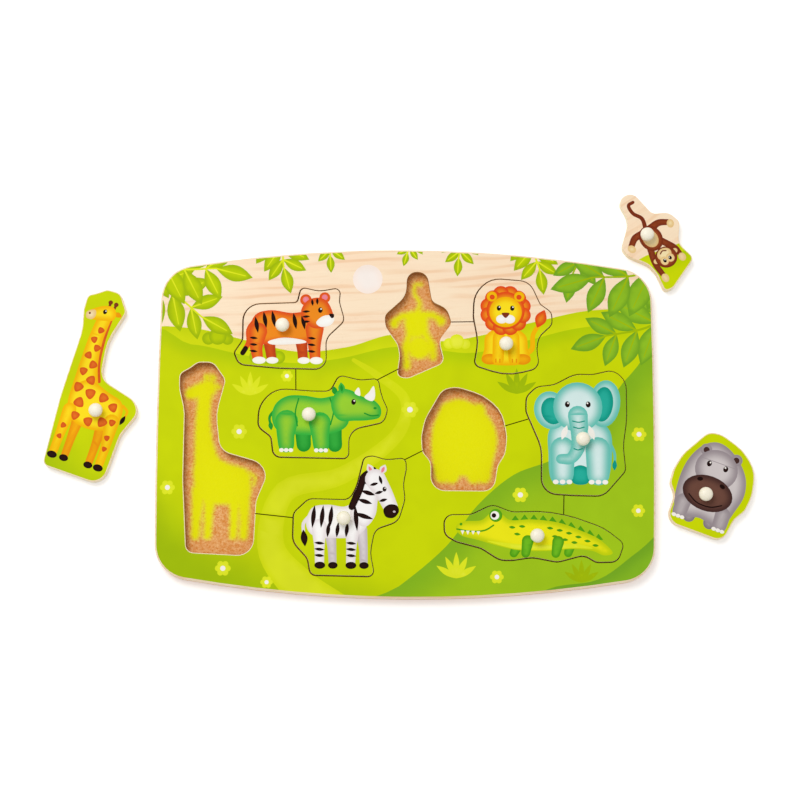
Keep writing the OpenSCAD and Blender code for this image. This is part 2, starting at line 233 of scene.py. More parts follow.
# Board print: rolling fields under a bare wooden sky, with sprays of leaves hanging into it
BOARD = [
    ("peach", oval(-24, 88, 9)),
    ("far_ridge", blob((-158, 53), (-130, 57), (-98, 50), (-66, 43), (-36, 46), (-8, 54), (20, 50),
                       (46, 54), (80, 63), (116, 70), (158, 66), (158, 10), (-158, 10))),
    ("meadow", blob((-158, 44), (-130, 47), (-100, 41), (-70, 36), (-40, 39), (-10, 46), (15, 45),
                    (40, 43), (70, 50), (100, 58), (130, 61), (158, 57), (160, -116), (-160, -116))),
    ("near_field", blob((-162, -10), (-124, -44), (-70, -72), (-10, -88), (24, -120), (-60, -160),
                        (-200, -160), (-215, -60))),
    ("path", limb([(-40, -116), (-64, -97), (-80, -74), (-72, -42), (-38, -32), (-6, -8), (-1, 14),
                   (-18, 29), (-32, 38)], 26, 21, 16, 13, 10.5, 8, 6, 4.4, 2.4)),
    ("green_hill", blob((-34, -118), (-4, -98), (24, -74), (42, -50), (64, -31), (90, -20), (114, 2),
                        (134, 30), (162, 46), (162, -118))),
    ("fern_bank", blob((52, -118), (84, -99), (114, -93), (138, -76), (164, -58), (164, -118))),
    *bush("lime_leaf", -84, 39, 8), *bush("lime_leaf", -114, 50, 7), *bush("pale_lime", 30, 48, 6),
    *tuft("pale_lime", 30, -93, 15), *tuft("lime_leaf", 104, -95, 13), *tuft("lime_leaf", 66, 18, 15),
    *tuft("pale_lime", -94, 16, 14),
    *daisy(-100, -6, 4.6), *daisy(2, 8, 5), *daisy(-108, -88, 4.6), *daisy(68, -43, 4.6),
    *daisy(54, -92, 4), *daisy(-142, -40, 4.4), *daisy(139, -6, 4.4), *daisy(-72, 28, 3.6),
    *daisy(-82, -96, 3.6), *daisy(138, -52, 4),
    *spray("lime_leaf", "pale_lime", -164, 86, -124, 64, 3, 31, 4),
    *spray("lime_leaf", "pale_lime", -164, 106, -116, 94, 4, 33, -6),
    *spray("lime_leaf", "pale_lime", -82, 120, -75, 95, 3, 24, 2),
    *spray("lime_leaf", "pale_lime", -48, 117, -47, 103, 2, 16, 1),
    *spray("lime_leaf", "pale_lime", 3, 116, 0, 105, 2, 13, 1),
    *spray("lime_leaf", "pale_lime", 32, 118, 31, 102, 2, 17, 1),
    *spray("lime_leaf", "pale_lime", 76, 121, 80, 95, 3, 23, -2),
    *spray("green_leaf", "lime_leaf", 166, 72, 120, 54, 4, 33, 4),
    *spray("green_leaf", "lime_leaf", 107, 124, 100, 92, 2, 26, 3),
    *spray("green_leaf", "lime_leaf", 166, 106, 112, 90, 4, 38, 6),
]

# Animal prints, each in its own saw line
TIGER = [
    ("rust", limb([(-84, 53), (-83, 45), (-82, 38.6)], 9, 7, 6.4)),
    ("white", oval(-81.4, 36.8, 4, 2.2)),
    ("rust", limb([(-63, 53), (-62, 45), (-61.4, 38.6)], 9, 7, 6.4)),
    ("white", oval(-60.8, 36.8, 4, 2.2)),
    ("orange", limb([(-93, 63), (-97, 57), (-97, 49), (-100.6, 42)], 4, 3.6, 3.4, 3.2)),
    ("black", limb([(-99, 44.6), (-100.8, 41.6)], 3.3)),
    ("orange", blob((-96.2, 60), (-92, 68), (-82, 70.4), (-70, 68.6), (-58, 69), (-51, 62), (-53, 53),
                    (-62, 48), (-76, 48.6), (-88, 47.6), (-95, 52))),
    ("white", blob((-84, 49.6), (-74, 52), (-62, 50.6), (-60, 48.6), (-72, 47.4), (-82, 47.4))),
    ("orange", limb([(-91, 56), (-92, 46), (-91, 38.8)], 12, 8.4, 7)),
    ("white", oval(-90, 36.8, 4.4, 2.4)),
    ("orange", limb([(-54, 58), (-54, 47), (-53.4, 38.8)], 12, 8.4, 7)),
    ("white", oval(-52.6, 36.8, 4.2, 2.4)),
    *[("black", leaf(x, y, x + 2, y - 11, 2.8))
      for x, y in ((-93, 66), (-87.6, 69.4), (-82, 70), (-68, 68.6), (-62.4, 68.4))],
    *[("black", leaf(x - 4.6, y, x + 1, y - 0.6, 1.7)) for x in (-92, -54) for y in (52, 47.6, 43.2)],
    ("orange", oval(-60, 77.4, 3.8)), ("rose", oval(-60, 77.6, 2)),
    ("orange", oval(-47.6, 79, 3.6)), ("rose", oval(-47.6, 79.2, 1.9)),
    ("orange", blob((-63, 68), (-60, 76), (-53, 79), (-46.6, 77), (-43, 71), (-42, 65), (-47, 59.4),
                    (-56, 59))),
    ("white", blob((-53, 62.4), (-48.6, 66.6), (-43, 67), (-41.2, 64), (-44, 60.4), (-50, 59.4))),
    ("black", blob((-44.6, 68), (-41.6, 68), (-41.6, 65.8), (-43.2, 65.4))),
    *eye(-50.4, 70.6, 1.5),
    *[("black", leaf(x, y, x + dx, y - 4.6, 1.7)) for x, y, dx in ((-56, 78, 0.6), (-52.6, 78.8, 0.2))],
    *[("black", leaf(-62.4, y, -57, y + 0.4, 1.6)) for y in (69.4, 66, 62.6)],
]

LION = [
    ("gold", limb([(68, 40), (76, 44), (77, 54), (82, 62)], 3.8, 3.4, 3, 2.8)),
    ("mane", leaf(79.6, 58.6, 84.6, 70.6, 7.5)),
    ("gold", blob((46.6, 54), (45, 44), (43.6, 36.4), (52, 33.6), (66, 33.6), (75, 36.4), (73.6, 44),
                  (71.6, 54), (59, 60))),
    *both_sides(59.3, [("amber", oval(48.6, 37.4, 5.4, 3.6)),
                       ("gold", limb([(54.6, 52), (54, 37)], 8, 7.4)),
                       ("amber", limb([(52.6, 35.4), (52.6, 37.4)], 0.8)),
                       ("amber", limb([(55.2, 35.4), (55.2, 37.4)], 0.8))]),
    *[("mane", oval(59 + 11.6 * math.cos(a), 70 + 11.6 * math.sin(a), 5.3))
      for a in np.radians(np.arange(15, 375, 30))],
    ("mane", oval(59, 70, 12.6)),
    *both_sides(59, [("gold", oval(50, 79.4, 3.4)), ("mane", oval(50.2, 79, 1.7))]),
    ("gold", oval(59, 69, 10.6, 10.2)),
    *both_sides(59, [("white", oval(56.4, 64.2, 3.6, 2.9))]),
    ("brown", blob((56.4, 68), (59, 68.6), (61.6, 68), (59, 65))),
    *eye(54.6, 71.6, 1.4), *eye(63.4, 71.6, 1.4),
]

RHINO = [
    ("rhino_shade", limb([(-64, -1), (-64, -9), (-63.6, -14.4)], 12, 10, 9.4)),
    ("rhino_shade", limb([(-45, -1), (-44, -9), (-43.4, -14.4)], 12, 10, 9.4)),
    ("rhino_shade", limb([(-82, 9), (-86, 4), (-85.6, -1)], 2.2, 1.8, 1.6)),
    ("rhino_shade", leaf(-85.8, 1, -84.8, -5, 3)),
    ("rhino_green", blob((-84.6, 3), (-82.6, 12), (-75, 17.6), (-64, 18), (-53, 16.4), (-43, 18),
                         (-36, 14), (-34, 6), (-36, -2), (-44, -6.4), (-57, -8), (-71, -7.4),
                         (-81, -5))),
    ("rhino_green", limb([(-75, 1), (-75.4, -8), (-75, -14.4)], 15, 11.6, 10.4)),
    ("rhino_green", limb([(-53.4, 0), (-53, -8), (-52.4, -14.4)], 14.4, 11.4, 10.4)),
    *[("white", oval(x + d, -18, 1.5, 1.3)) for x in (-75, -52.4) for d in (-3, 0, 3)],
    ("rhino_shade", limb([(-67.4, 16), (-69.4, 7), (-68, -2)], 0.9)),
    ("rhino_shade", limb([(-47, 16.4), (-44.6, 8), (-46.4, -1)], 0.9)),
    ("rhino_shade", leaf(-43, 18, -45, 24.6, 3.6)),
    ("rhino_green", blob((-46, 15), (-41, 22), (-34, 22), (-26, 17.6), (-19, 15.6), (-14, 10.4),
                         (-14.6, 4), (-22, 2), (-31, 1.6), (-40, 1.6), (-45, 7))),
    ("white", blob((-24.6, 17), (-19.6, 14.6), (-17.6, 18), (-18.6, 24.6), (-21.6, 20.6))),
    ("white", blob((-31, 20), (-27.6, 18), (-27.4, 21), (-28.6, 23.6))),
    ("rhino_green", leaf(-39, 19.4, -40, 27, 4.4)),
    ("rhino_shade", leaf(-39.2, 20.6, -39.8, 25.6, 1.9)),
    *eye(-31.6, 14, 1.5),
    ("rhino_shade", oval(-17.6, 10, 1.1, 0.8)),
    ("rhino_shade", limb([(-15.4, 5.4), (-20, 5), (-24.4, 6.6)], 0.9)),
]

ELEPHANT = [
    ("mist", limb([(122, -10), (126, -18), (126.4, -25)], 2.2, 1.8, 1.6)),
    ("teal", leaf(126.4, -23, 126, -30, 3)),
    ("mist", blob((85, -2), (83.4, -20), (85, -36), (93, -39.4), (104, -36), (115, -39.4), (122, -35),
                  (124.6, -18), (122, -2), (104, 6))),
    ("teal", blob((98, -30), (104, -26.6), (110, -30), (108.6, -38.4), (99.4, -38.4))),
    *both_sides(104, [("mist", limb([(92.6, -16), (92.4, -32.4)], 16, 14.6)),
                      *[("white", oval(92.4 + d, -37.6, 1.9, 1.5)) for d in (-4.4, 0, 4.4)]]),
    ("mist", oval(85, 9.4, 10.8, 12.6, 14)), ("teal", oval(86, 9, 7.2, 9, 14)),
    ("mist", oval(120, 14, 10.2, 15.6, -8)), ("teal", oval(119, 13.6, 6.6, 11.6, -8)),
    ("mist", oval(102.6, 11.6, 16, 16.4)),
    *both_sides(102.6, [("white", leaf(95.6, -0.4, 92, -10, 3.8))]),
    ("mist", limb([(102.6, 6), (103.4, -5), (102.6, -15), (98, -22), (91.4, -22.6)],
                  13, 11, 9, 7.6, 6.4)),
    *[("teal", limb([(103 + dx - w, y), (103 + dx, y - 0.8), (103 + dx + w, y)], 0.8))
      for y, dx, w in ((2.4, 0, 3.8), (-1.6, 0.2, 3.4), (-15.8, -0.4, 2.6))],
    *both_sides(102.6, eye(95.8, 13.4, 1.6)),
]

ZEBRA = [
    ("chalk_shade", limb([(-47, -65), (-45.6, -76), (-45, -86)], 8, 5.6, 5)),
    ("black", oval(-44.8, -88, 3.1, 2.2)),
    ("chalk_shade", limb([(-27, -65), (-25.4, -76), (-25, -86)], 8, 5.6, 5)),
    ("black", oval(-24.8, -88, 3.1, 2.2)),
    ("chalk", limb([(-60, -56), (-64, -61), (-64, -67)], 2.6, 2.2, 2)),
    ("black", leaf(-64.2, -65, -62.8, -76, 4.4)),
    ("chalk", blob((-62, -58), (-58, -50.4), (-48, -48.8), (-38, -50), (-30, -47), (-23.6, -54),
                   (-24, -64), (-32, -69.6), (-45, -70.4), (-56, -69.6), (-61.4, -65))),
    ("chalk", blob((-34, -55), (-29, -42), (-25, -31), (-16, -28), (-12, -34), (-16, -44), (-18, -56),
                   (-25, -63))),
    ("black", limb([(-33, -50), (-28.8, -40), (-25.4, -30.6), (-19, -25.6)], 4.4, 5, 4.8, 3.2)),
    ("chalk", limb([(-54, -63), (-53.6, -76), (-53.4, -86)], 10, 6.6, 5.8)),
    ("black", oval(-53.2, -88, 3.5, 2.3)),
    ("chalk", limb([(-32.4, -63), (-33, -76), (-33.4, -86)], 9.4, 6.6, 5.8)),
    ("black", oval(-33.2, -88, 3.5, 2.3)),
    *[("black", leaf(x, -49, x - 1.4, -64, 3)) for x in (-57, -51.4, -45.8)],
    *[("black", leaf(x, -70, x + 1, -60, 2.6)) for x in (-48.6, -42.6, -36.6)],
    ("black", leaf(-31, -48.6, -29.4, -66, 3)),
    *[("black", leaf(x, y, x + 9.6, y - 3, 2.8))
      for x, y in ((-29.4, -45), (-27.4, -39.4), (-25.6, -34))],
    ("black", leaf(-32, -54, -19, -58, 3)),
    *[("black", leaf(x - 3.4, y, x + 3.4, y - 0.6, 2))
      for x in (-53.6, -33.2) for y in (-73.4, -77.4, -81.4)],
    ("chalk", leaf(-19.6, -28.6, -23, -22, 4.6)), ("rose", leaf(-20.2, -27.6, -22.4, -23.4, 2)),
    ("chalk", limb([(-18, -32), (-12.4, -41), (-8, -50)], 13.4, 11, 9.4)),
    ("chalk", leaf(-14.4, -28.6, -11.6, -22.4, 4.6)), ("rose", leaf(-14, -27.8, -12.2, -23.6, 2)),
    ("black", blob((-12.6, -51.6), (-9, -48.4), (-4, -49), (-2.6, -53), (-6, -57), (-11, -56.4))),
    *[("black", leaf(x, y, x + 5.6, y + 1.6, 2))
      for x, y in ((-21.6, -36), (-18.4, -41.4), (-15.6, -46.4))],
    ("black", leaf(-15.6, -29.4, -13.6, -35.4, 2)),
    *eye(-12, -38.4, 1.3),
    ("chalk_shade", oval(-5.6, -53, 0.9, 0.7)),
]

CROCODILE = [
    ("reed", limb([(66, -72), (63, -78)], 7, 5.4)), ("reed", limb([(100, -71), (98, -77.6)], 7, 5.4)),
    *[("reed", corners((x - 3, y - 1.4), (x, y + 2.6), (x + 3, y - 1.4)))
      for x, y in ((64, -56), (70, -55.4), (76, -55.4), (82, -55.8), (88, -56.6), (94, -58),
                   (100, -60), (106, -62.4), (112, -65), (117.6, -67.6))],
    ("lemon", blob((25.6, -61), (31, -57.6), (42, -56.8), (48, -52.4), (55, -52.8), (61, -56.6),
                   (75, -56), (92, -58), (106, -63), (118, -68.6), (126.6, -77), (121, -79),
                   (113, -76), (100, -75), (84, -76.4), (66, -76), (52, -73), (40, -69.6),
                   (29, -66.6))),
    ("pale_lime", blob((46, -70), (60, -71.6), (82, -72.4), (102, -71.6), (114, -74.6), (100, -74.4),
                       (84, -75.8), (66, -75.4), (53, -72.6))),
    *[("reed", leaf(x - 2.2, y, x + 2.2, y - 0.4, 1.8))
      for x, y in ((62, -61), (68.4, -60.4), (86.4, -61.4), (92.6, -62.8), (98.6, -64.6), (104.6, -67),
                   (65.2, -65.4), (89.6, -66.8), (96, -68.8), (102, -70.6), (110.4, -69.6),
                   (115.6, -72.4))],
    ("reed", limb([(72, -70), (70.6, -78)], 7.6, 5.6)),
    ("reed", limb([(91.6, -70.4), (90, -78)], 7.6, 5.6)),
    ("reed", limb([(26.4, -62.6), (35, -64), (44, -63.4), (50, -60)], 1)),
    *[("white", corners((x - 1.2, y), (x + 1.2, y), (x, -66.2)))
      for x, y in ((30, -63.4), (33.4, -63.57), (36.8, -63.74), (40.2, -63.91))],
    ("reed", oval(51.4, -53.6, 4.2)),
    ("white", oval(50.8, -53.6, 2.8)),
    ("black", oval(50.2, -53.6, 1.5)),
    ("reed", oval(29, -59.4, 0.9)),
]

GIRAFFE = [
    ("amber", limb([(-117, -46), (-117.6, -60), (-118, -72)], 8, 5.6, 5)),
    ("black", oval(-118.2, -74.4, 3, 2.2)),
    ("amber", limb([(-101, -46), (-101, -60), (-101.4, -72)], 8, 5.6, 5)),
    ("black", oval(-101.6, -74.4, 3, 2.2)),
    ("gold", limb([(-91.6, -31), (-88, -33.6), (-88.4, -38)], 2, 1.8, 1.6)),
    ("black", leaf(-88.2, -36.6, -90, -43.6, 2.8)),
    ("spot", limb([(-117, 24), (-117.4, 8), (-115.9, -8), (-111.6, -20)], 2.4, 2.6, 2.6, 2)),
    ("gold", limb([(-118.4, -30), (-121.6, -12), (-122.6, 6), (-121.4, 22)], 19, 12.4, 9.6, 9)),
    ("gold", blob((-127.6, -35), (-125.6, -26), (-117, -20.6), (-104, -25), (-94, -28.4), (-90.6, -36),
                  (-92.6, -46), (-102, -51), (-114, -51.4), (-124, -46.6))),
    ("gold", limb([(-124.4, -43), (-125.4, -59), (-126, -72)], 9, 6.4, 5.6)),
    ("black", oval(-126.2, -74.4, 3.3, 2.3)),
    ("gold", limb([(-95.6, -43), (-94.4, -59), (-94.6, -72)], 10, 6.4, 5.6)),
    ("black", oval(-94.8, -74.4, 3.3, 2.3)),
    *[("spot", patch(x, y, r, turn))
      for x, y, r, turn in ((-121, 13, 2.3, 10), (-123.4, 6, 2.3, 50), (-119.8, 1, 2.5, 20),
                            (-123.8, -5, 2.6, 80), (-118.8, -10.4, 2.9, 0), (-123.6, -16, 2.8, 35),
                            (-117, -20.4, 3.2, 70), (-123.4, -27, 3.4, 15), (-114.6, -29, 3.6, 40),
                            (-105.4, -29.4, 3.4, 5), (-97.6, -33.6, 3.2, 60), (-120, -36.6, 3.6, 85),
                            (-119.6, -45.6, 3, 25), (-110.4, -47, 3.2, 50), (-101.4, -45, 3.4, 10),
                            (-95, -43.4, 2.4, 30), (-125, -54, 2, 0), (-95.2, -54, 2, 45),
                            (-125.4, -61.4, 1.8, 70), (-94.6, -61.4, 1.8, 20))],
    ("amber", leaf(-116.4, 26.6, -110.8, 25.4, 3.4)),
    ("brown", limb([(-120.6, 29), (-120.8, 32.4)], 1.7)), ("brown", oval(-120.8, 32.6, 1.5)),
    ("brown", limb([(-117.2, 29), (-116.8, 32)], 1.7)), ("brown", oval(-116.8, 32.2, 1.5)),
    ("gold", blob((-114.8, 26), (-118, 30), (-123.6, 29.4), (-129, 26.6), (-133.4, 22.6),
                  (-132.6, 18.8), (-127, 18.6), (-120, 20), (-115.6, 21.6))),
    ("skin", blob((-128.6, 24.8), (-131.4, 24.4), (-134, 22), (-133, 18.6), (-129.4, 18.4),
                  (-127.6, 21.4))),
    ("brown", oval(-131.8, 22, 0.7)),
    *eye(-122.4, 25.6, 1.3),
]

MONKEY = [
    ("brown", limb([(6, 69), (7.6, 76), (4.4, 82), (4.6, 88), (8.4, 88.6)], 2.8, 2.6, 2.4, 2.3, 2.2)),
    ("brown", limb([(2, 67), (-3.6, 67), (-8.4, 63.6)], 5.4, 4.6, 4)),
    ("skin", oval(-9.2, 61.8, 2.4, 2.9, 20)),
    ("brown", limb([(9, 67.4), (15.4, 68), (20.8, 65.4)], 5.4, 4.6, 4)),
    ("skin", oval(22, 63.6, 2.4, 2.9, -25)),
    ("brown", limb([(1.6, 56), (-1.2, 46), (-0.8, 37)], 4.6, 4, 3.6)), ("skin", oval(-0.6, 34, 2.4, 3)),
    ("brown", limb([(11, 56), (15.6, 48.4), (16.4, 43.4)], 4.6, 4, 3.6)),
    ("skin", oval(16.6, 40.4, 2.4, 2.9)),
    ("brown", oval(5.6, 61.6, 7.6, 9)), ("skin", oval(5.2, 61.6, 5, 6.2)),
    *both_sides(7.4, [("brown", oval(0, 46.4, 3)), ("skin", oval(0.1, 46.4, 1.7))]),
    ("brown", oval(7.4, 45.6, 7.4, 7.2)),
    ("skin", oval(7.4, 48, 5, 4)), *both_sides(7.4, [("skin", oval(5.2, 44, 2.7, 3))]),
    *both_sides(7.4, eye(5.4, 44, 1.1)),
    ("brown", limb([(5.2, 49.4), (7.4, 50.4), (9.6, 49.4)], 0.8)),
]

HIPPO = [
    ("grey_shade", limb([(27, -28), (27, -34)], 9, 8)),
    ("grey_shade", limb([(41, -28), (41, -34)], 9, 8)),
    ("grey", blob((16, -31), (13.2, -15), (14.4, 0), (20, 12), (28, 17.6), (37, 16.6), (47, 10),
                  (54, 1), (56.4, -10), (54, -21), (50.6, -31), (44, -35), (34, -33), (24, -35))),
    *both_sides(34, [("grey", limb([(20.6, -26), (20.4, -33)], 10, 9.4)),
                     *[("white", oval(20.4 + d, -36.4, 1.5, 1.2)) for d in (-2.8, 0, 2.8)],
                     ("grey", oval(23.6, 11, 3.8)), ("cocoa", oval(23.8, 10.8, 2))]),
    ("grey", oval(34, 0.6, 14, 13)),
    ("cocoa", oval(33.6, -16, 16.6, 11.6)),
    *both_sides(33.6, [("black", oval(26, -8.6, 1.9, 1.3, 20))]),
    *both_sides(34, eye(28.4, 3, 1.6)),
    ("black", limb([(22.4, -20.4), (28, -23.6), (33.6, -24.4), (39.2, -23.6), (44.8, -20.4)], 0.8)),
]

ANIMALS = {"tiger": TIGER, "monkey": MONKEY, "lion": LION, "rhino": RHINO, "giraffe": GIRAFFE,
           "hippo": HIPPO, "elephant": ELEPHANT, "zebra": ZEBRA, "crocodile": CROCODILE}


# Materials
def linear(code):
    """An sRGB hex colour as Blender's linear numbers."""
    parts = [int(code[i:i + 2], 16) / 255 for i in (1, 3, 5)]
    return tuple(c / 12.92 if c <= 0.04045 else ((c + 0.055) / 1.055) ** 2.4 for c in parts) + (1.0,)


def add(material, kind, inputs=None, **settings):
    """Adds one node with its settings; an input is a value, or the socket that feeds it."""
    node = material.node_tree.nodes.new(kind)
    for key, value in settings.items():
        setattr(node, key, value)
    for key, value in (inputs or {}).items():
        if isinstance(value, bpy.types.NodeSocket):
            material.node_tree.links.new(value, node.inputs[key])
        else:
            node.inputs[key].default_value = value
    return node


def new_material(name):
    material = bpy.data.materials.new(name)
    material.use_nodes = True
    return material, material.node_tree.nodes["Principled BSDF"]


def basswood_ply(name, turn, base, light, dark):
    # Basswood plywood, sawn, sanded and clear-varnished: pale peach with soft, slightly wavy grain lines
    #  that come and go along the sheet, a warmer blush here and there and a satin sheen. The sawn edge
    #  shows the veneers by turns in the two edge colours passed in: painted light on the pale walls,
    #  painted shade on the brown ones.
    material, shader = new_material(name)
    place = add(material, "ShaderNodeTexCoord").outputs["Object"]
    lie = (0, 0, math.radians(turn + 3))
    wave = RING_WAVE * MM
    rings = add(material, "ShaderNodeTexWave", {
        "Scale": 1, "Distortion": 7, "Detail": 3, "Detail Scale": 1.4, "Vector": add(
            material, "ShaderNodeMapping", {
                "Vector": place, "Rotation": lie, "Scale": (7 * wave, wave, wave)},
            vector_type="TEXTURE").outputs[0]}, wave_type="BANDS", bands_direction="Y")
    fibres = add(material, "ShaderNodeTexNoise", {
        "Scale": 1, "Detail": 2, "Roughness": 0.5, "Vector": add(material, "ShaderNodeMapping", {
            "Vector": place, "Rotation": lie, "Scale": (14 * MM, 0.7 * MM, 0.7 * MM)},
            vector_type="TEXTURE").outputs[0]})
    figure = add(material, "ShaderNodeTexNoise", {
        "Scale": 1, "Detail": 1, "Vector": add(material, "ShaderNodeMapping", {
            "Vector": place, "Rotation": lie, "Scale": (48 * MM, 10 * MM, 10 * MM)},
            vector_type="TEXTURE").outputs[0]})
    ring = add(material, "ShaderNodeMapRange", {
        "Value": rings.outputs["Fac"], "From Min": 0.5, "From Max": 1, "To Max": 0.8},
        interpolation_type="SMOOTHSTEP")
    strong = add(material, "ShaderNodeMapRange", {
        "Value": figure.outputs[0], "From Min": 0.38, "From Max": 0.68})
    broken = add(material, "ShaderNodeMath", {
        0: ring.outputs[0], 1: strong.outputs[0]}, operation="MULTIPLY")
    face = add(material, "ShaderNodeMix", {
        0: broken.outputs[0], 6: linear("#FDE4C2"), 7: linear("#EBB47C")}, data_type="RGBA")
    blush = add(material, "ShaderNodeMapRange", {
        "Value": figure.outputs[0], "From Min": 0.4, "From Max": 0.7, "To Max": 0.5})
    warm = add(material, "ShaderNodeMix", {
        0: blush.outputs[0], 6: face.outputs[2], 7: linear("#FBD6B2")}, data_type="RGBA")
    pores = add(material, "ShaderNodeMapRange", {
        "Value": fibres.outputs[0], "From Min": 0.5, "From Max": 0.8, "To Max": 0.2})
    grain = add(material, "ShaderNodeMix", {
        0: pores.outputs[0], 6: warm.outputs[2], 7: linear("#E9C294")}, data_type="RGBA")
    height = add(material, "ShaderNodeSeparateXYZ", {0: place}).outputs["Z"]
    level = add(material, "ShaderNodeMath", {0: height, 1: base * MM}, operation="SUBTRACT")
    fold = add(material, "ShaderNodeMath", {0: level.outputs[0], 1: PLY * MM}, operation="PINGPONG")
    veneer = add(material, "ShaderNodeMapRange", {
        "Value": fold.outputs[0], "From Min": 0.4 * PLY * MM, "From Max": 0.6 * PLY * MM})
    edge = add(material, "ShaderNodeMix", {
        0: veneer.outputs[0], 6: linear(light), 7: linear(dark)}, data_type="RGBA")
    facing = add(material, "ShaderNodeSeparateXYZ", {
        0: add(material, "ShaderNodeNewGeometry").outputs["Normal"]}).outputs["Z"]
    upright = add(material, "ShaderNodeMath", {0: facing}, operation="ABSOLUTE")
    flat = add(material, "ShaderNodeMapRange", {
        "Value": upright.outputs[0], "From Min": 0.3, "From Max": 0.7})
    colour = add(material, "ShaderNodeMix", {
        0: flat.outputs[0], 6: edge.outputs[2], 7: grain.outputs[2]}, data_type="RGBA")
    bump = add(material, "ShaderNodeBump", {
        "Strength": 0.25, "Distance": 0.05 * MM, "Height": fibres.outputs[0]})
    material.node_tree.links.new(colour.outputs[2], shader.inputs["Base Color"])
    material.node_tree.links.new(bump.outputs[0], shader.inputs["Normal"])
    shader.inputs["Roughness"].default_value = 0.45
    shader.inputs["IOR"].default_value = 1.5
    return material


def fibreboard():
    # Hardboard pressed from brown wood fibre, left raw: matt tan with pale and dark flecks, drawn about
    # twice as coarse as real fibre bundles, so that they show. The pocket floors carry a soft-edged lime
    # print of the animal.
    material, shader = new_material("raw_hardboard")
    place = add(material, "ShaderNodeTexCoord").outputs["Object"]
    fleck = add(material, "ShaderNodeTexNoise", {
        "Vector": place, "Scale": 1 / (1.2 * MM), "Detail": 4, "Roughness": 0.75})
    pale = add(material, "ShaderNodeMapRange", {
        "Value": fleck.outputs[0], "From Min": 0.36, "From Max": 0.66})
    fibre = add(material, "ShaderNodeMix", {
        0: pale.outputs[0], 6: linear("#DA842E"), 7: linear("#FAC486")}, data_type="RGBA")
    wash = add(material, "ShaderNodeAttribute", attribute_name="wash").outputs["Fac"]
    speck = add(material, "ShaderNodeMapRange", {
        "Value": fleck.outputs[0], "From Min": 0.3, "From Max": 0.7, "To Min": -0.2, "To Max": 0.2})
    ragged = add(material, "ShaderNodeMath", {0: wash, 1: speck.outputs[0]}, operation="ADD")
    cover = add(material, "ShaderNodeMapRange", {
        "Value": ragged.outputs[0], "From Min": 0.1, "From Max": 0.9, "To Max": 0.98},
        interpolation_type="SMOOTHSTEP")
    colour = add(material, "ShaderNodeMix", {
        0: cover.outputs[0], 6: fibre.outputs[2], 7: linear("#EDED00")}, data_type="RGBA")
    bump = add(material, "ShaderNodeBump", {
        "Strength": 0.5, "Distance": 0.15 * MM, "Height": fleck.outputs[0]})
    material.node_tree.links.new(colour.outputs[2], shader.inputs["Base Color"])
    material.node_tree.links.new(bump.outputs[0], shader.inputs["Normal"])
    shader.inputs["Roughness"].default_value = 0.85
    shader.inputs["IOR"].default_value = 1.5
    shader.inputs["Specular IOR Level"].default_value = 0.1
    return material


def turned_birch():
    # Birch dowel turned on a lathe and varnished: nearly white, with faint streaks up the sides, specks
    # of end grain on the dome and a soft gloss.
    material, shader = new_material("turned_birch")
    place = add(material, "ShaderNodeTexCoord").outputs["Object"]
    streaks = add(material, "ShaderNodeTexNoise", {
        "Scale": 1, "Detail": 3, "Vector": add(material, "ShaderNodeMapping", {
            "Vector": place, "Scale": (0.8 * MM, 0.8 * MM, 12 * MM)}, vector_type="TEXTURE").outputs[0]})
    streak = add(material, "ShaderNodeMapRange", {
        "Value": streaks.outputs[0], "From Min": 0.45, "From Max": 0.75, "To Max": 0.5})
    colour = add(material, "ShaderNodeMix", {
        0: streak.outputs[0], 6: linear("#FFF8E4"), 7: linear("#F8E8C8")}, data_type="RGBA")
    bump = add(material, "ShaderNodeBump", {
        "Strength": 0.08, "Distance": 0.04 * MM, "Height": streaks.outputs[0]})
    material.node_tree.links.new(colour.outputs[2], shader.inputs["Base Color"])
    material.node_tree.links.new(bump.outputs[0], shader.inputs["Normal"])
    shader.inputs["Roughness"].default_value = 0.38
    shader.inputs["IOR"].default_value = 1.5
    return material


def screen_ink(name, middle, rim):
    # Ink screen-printed on the sanded sheet and sealed with satin varnish: even colour that deepens
    # softly towards the edge of each shape, slightly uneven over a few centimetres, with a trace of the
    # grain.
    material, shader = new_material("screen_ink_" + name)
    place = add(material, "ShaderNodeTexCoord").outputs["Object"]
    inner = add(material, "ShaderNodeAttribute", attribute_name="inner").outputs["Fac"]
    soft = add(material, "ShaderNodeMapRange", {"Value": inner}, interpolation_type="SMOOTHSTEP")
    tone = add(material, "ShaderNodeMix", {
        0: soft.outputs[0], 6: linear(rim), 7: linear(middle)}, data_type="RGBA")
    cloud = add(material, "ShaderNodeTexNoise", {"Vector": place, "Scale": 1 / (22 * MM), "Detail": 2})
    uneven = add(material, "ShaderNodeMapRange", {
        "Value": cloud.outputs[0], "From Min": 0.35, "From Max": 0.65, "To Min": 0.96, "To Max": 1.03})
    colour = add(material, "ShaderNodeMix", {
        0: 1.0, 6: tone.outputs[2], 7: uneven.outputs[0]}, data_type="RGBA", blend_type="MULTIPLY")
    grain = add(material, "ShaderNodeTexNoise", {
        "Scale": 1, "Detail": 2, "Vector": add(material, "ShaderNodeMapping", {
            "Vector": place, "Scale": (14 * MM, 0.7 * MM, 0.7 * MM)}, vector_type="TEXTURE").outputs[0]})
    bump = add(material, "ShaderNodeBump", {
        "Strength": 0.12, "Distance": 0.04 * MM, "Height": grain.outputs[0]})
    material.node_tree.links.new(colour.outputs[2], shader.inputs["Base Color"])
    material.node_tree.links.new(bump.outputs[0], shader.inputs["Normal"])
    shader.inputs["Roughness"].default_value = 0.5
    shader.inputs["IOR"].default_value = 1.5
    shader.inputs["Specular IOR Level"].default_value = 0.04
    return material


